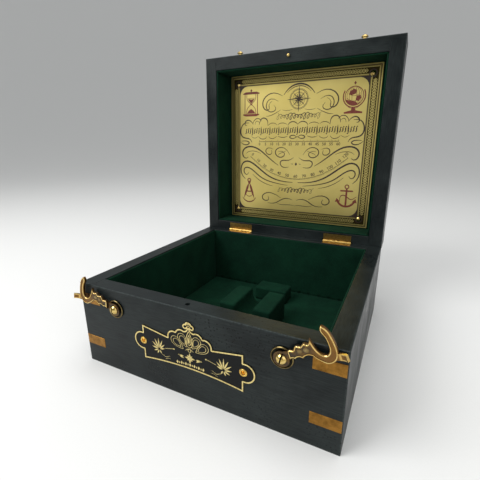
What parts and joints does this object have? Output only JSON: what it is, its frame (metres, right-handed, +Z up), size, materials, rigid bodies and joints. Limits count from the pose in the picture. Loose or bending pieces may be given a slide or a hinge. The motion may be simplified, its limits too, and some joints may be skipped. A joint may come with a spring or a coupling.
{
  "type": "instrument box",
  "caption": "Black-lacquered wooden instrument box with a hinged lid, green velvet lining, an engraved brass lid plate, brass hook latches and a cartouche nameplate.",
  "frame": {"origin": "centre of the underside, on the floor plane", "axes": "+X to the right seen from the front, +Y to the hinged rear side, +Z up"},
  "size_m": [0.2699, 0.3118, 0.3513],
  "materials": {
    "black_lacquer": "satin black lacquer over close-grained wood",
    "green_velvet": "short pile",
    "antique_brass": "cast and darkened, bright on the edges",
    "brass": "satin",
    "engraved_brass": "engraved lines on a black field",
    "engraved_plate": "engraved and toned, satin"
  },
  "bodies": {
    "base": {"base_floor_lining": "green_velvet", "base_front_board": "black_lacquer", "base_front_lining": "green_velvet", "base_hinge_screws": "brass", "base_left_board": "black_lacquer", "base_left_lining": "green_velvet", "base_panel": "black_lacquer", "base_rear_board": "black_lacquer", "base_rear_lining": "green_velvet", "base_right_board": "black_lacquer", "base_right_lining": "green_velvet", "handle_block": "green_velvet", "left_escutcheon": "antique_brass", "left_hinge_base_leaf": "brass", "left_hinge_pin": "brass", "left_pivot_screw": "antique_brass", "left_rest_block": "green_velvet", "lower_left_strip": "brass", "lower_right_strip": "brass", "nameplate": "engraved_brass", "nameplate_eyelets": "brass", "nameplate_pins": "brass", "rear_rest_block": "green_velvet", "right_escutcheon": "antique_brass", "right_hinge_base_leaf": "brass", "right_hinge_pin": "brass", "right_pivot_screw": "antique_brass", "right_rest_block": "green_velvet", "upper_left_strip": "brass", "upper_right_strip": "brass"},
    "lid": {"left_catch_stud": "antique_brass", "left_hinge_lid_leaf": "brass", "lid_backing": "green_velvet", "lid_front_board": "black_lacquer", "lid_front_lining": "green_velvet", "lid_hinge_screws": "brass", "lid_left_board": "black_lacquer", "lid_left_lining": "green_velvet", "lid_locating_pin": "brass", "lid_panel": "black_lacquer", "lid_plate": "engraved_plate", "lid_plate_screws": "brass", "lid_rear_board": "black_lacquer", "lid_rear_lining": "green_velvet", "lid_right_board": "black_lacquer", "lid_right_lining": "green_velvet", "right_catch_stud": "antique_brass", "right_hinge_lid_leaf": "brass"},
    "left_hook": {"left_hook": "antique_brass"},
    "right_hook": {"right_hook": "antique_brass"}
  },
  "joints": [
    {"name": "lid_hinge", "type": "hinge", "parent": "base", "child": "lid", "pos_m": [0, 0.124, 0.091], "axis": [1, 0, 0], "range_deg": [0, 91]},
    {"name": "left_hook_pivot", "type": "hinge", "parent": "base", "child": "left_hook", "pos_m": [-0.085, -0.128, 0.072], "axis": [0, 1, 0], "range_deg": [-99, 75.4]},
    {"name": "right_hook_pivot", "type": "hinge", "parent": "base", "child": "right_hook", "pos_m": [0.085, -0.128, 0.072], "axis": [0, -1, 0], "range_deg": [-113, 61.4]}
  ]
}
